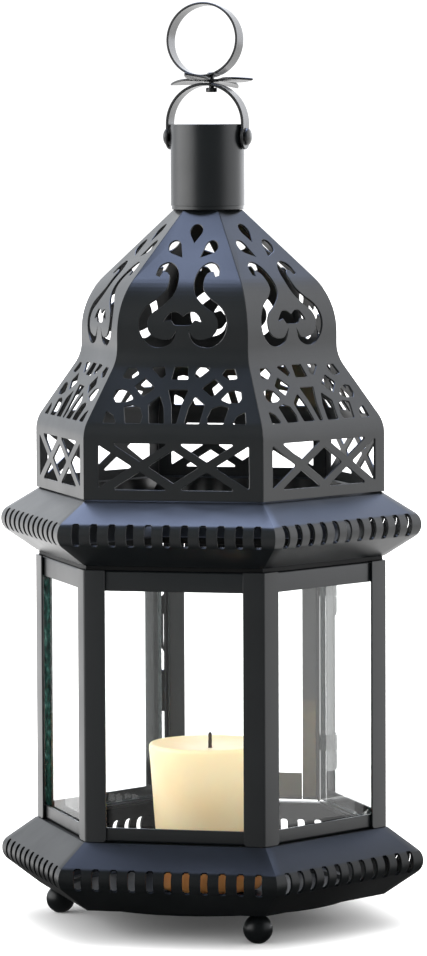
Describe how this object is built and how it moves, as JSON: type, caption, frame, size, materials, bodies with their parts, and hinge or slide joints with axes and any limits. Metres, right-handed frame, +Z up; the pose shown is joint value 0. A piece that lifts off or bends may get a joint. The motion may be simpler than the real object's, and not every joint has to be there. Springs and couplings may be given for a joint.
{
  "type": "moroccan lantern",
  "caption": "Hexagonal black metal candle lantern with a pierced dome, slotted cornice and base, glass sides, a hinged glass door, and a carrying bail with a hanging ring.",
  "frame": {"origin": "on the floor, under the middle of the lantern", "axes": "+Z up; +X towards one corner of the hexagon, so that the door is on the +Y face"},
  "size_m": [0.1548, 0.134, 0.3256],
  "materials": {
    "black_steel": "satin black powder coat on folded steel sheet",
    "black_fittings": "satin black paint on steel strip, with lighter worn edges",
    "glass": "clear float glass with rough cut greenish edges",
    "wax": "cream candle wax",
    "wick": "burnt cotton wick"
  },
  "bodies": {
    "lantern": {"base_skirt": "black_steel", "base_plate": "black_steel", "ball_foot_1": "black_steel", "ball_foot_2": "black_steel", "ball_foot_3": "black_steel", "corner_post_1": "black_steel", "corner_post_2": "black_steel", "corner_post_3": "black_steel", "corner_post_4": "black_steel", "corner_post_5": "black_steel", "corner_post_6": "black_steel", "top_rail_1": "black_steel", "top_rail_2": "black_steel", "top_rail_3": "black_steel", "top_rail_4": "black_steel", "top_rail_5": "black_steel", "bottom_rail_1": "black_steel", "bottom_rail_2": "black_steel", "bottom_rail_3": "black_steel", "bottom_rail_4": "black_steel", "bottom_rail_5": "black_steel", "glass_pane_1": "glass", "glass_pane_2": "glass", "glass_pane_3": "glass", "glass_pane_4": "glass", "glass_pane_5": "glass", "eave_plate": "black_steel", "upper_cornice": "black_steel", "dome_panel_1": "black_steel", "dome_panel_2": "black_steel", "dome_panel_3": "black_steel", "dome_panel_4": "black_steel", "dome_panel_5": "black_steel", "dome_panel_6": "black_steel", "dome_collar": "black_steel", "neck_tube": "black_steel", "neck_cap": "black_steel", "bail_rivet_left": "black_fittings", "bail_rivet_right": "black_fittings", "hinge_leaf_post_upper": "black_steel", "hinge_leaf_post_lower": "black_steel", "hinge_pin_upper": "black_steel", "hinge_pin_lower": "black_steel", "latch_keeper": "black_steel"},
    "bail": {"bail": "black_fittings"},
    "ring": {"hanging_ring": "black_fittings", "finial_flower": "black_fittings", "swivel_rivet": "black_fittings"},
    "door": {"door_stile_latch": "black_steel", "door_stile_hinge": "black_steel", "door_rail_top": "black_steel", "door_rail_bottom": "black_steel", "door_glass": "glass", "hinge_leaf_door_upper": "black_steel", "hinge_leaf_door_lower": "black_steel", "latch_stud": "black_steel"},
    "latch": {"latch_hook": "black_steel"},
    "candle": {"candle": "wax", "wick": "wick"}
  },
  "joints": [
    {"name": "bail_swing", "type": "hinge", "parent": "lantern", "child": "bail", "pos_m": [0, 0, 0.2782], "axis": [0.9962, -0.0872, 0], "range_deg": [-90, 90]},
    {"name": "ring_swivel", "type": "hinge", "parent": "bail", "child": "ring", "pos_m": [0.00159, -0.00014, 0.2993], "axis": [0, 0, 1], "continuous": true},
    {"name": "door_swing", "type": "hinge", "parent": "lantern", "child": "door", "pos_m": [0.033, 0.05716, 0.0816], "axis": [0, 0, -1], "range_deg": [0, 110]},
    {"name": "latch_swing", "type": "hinge", "parent": "door", "child": "latch", "pos_m": [-0.0274, 0.05534, 0.107], "axis": [0, -1, 0], "range_deg": [0, 100]},
    {"name": "candle_lift", "type": "slide", "parent": "lantern", "child": "candle", "axis": [0, 0, 1], "range_m": [0, 0.045]}
  ]
}
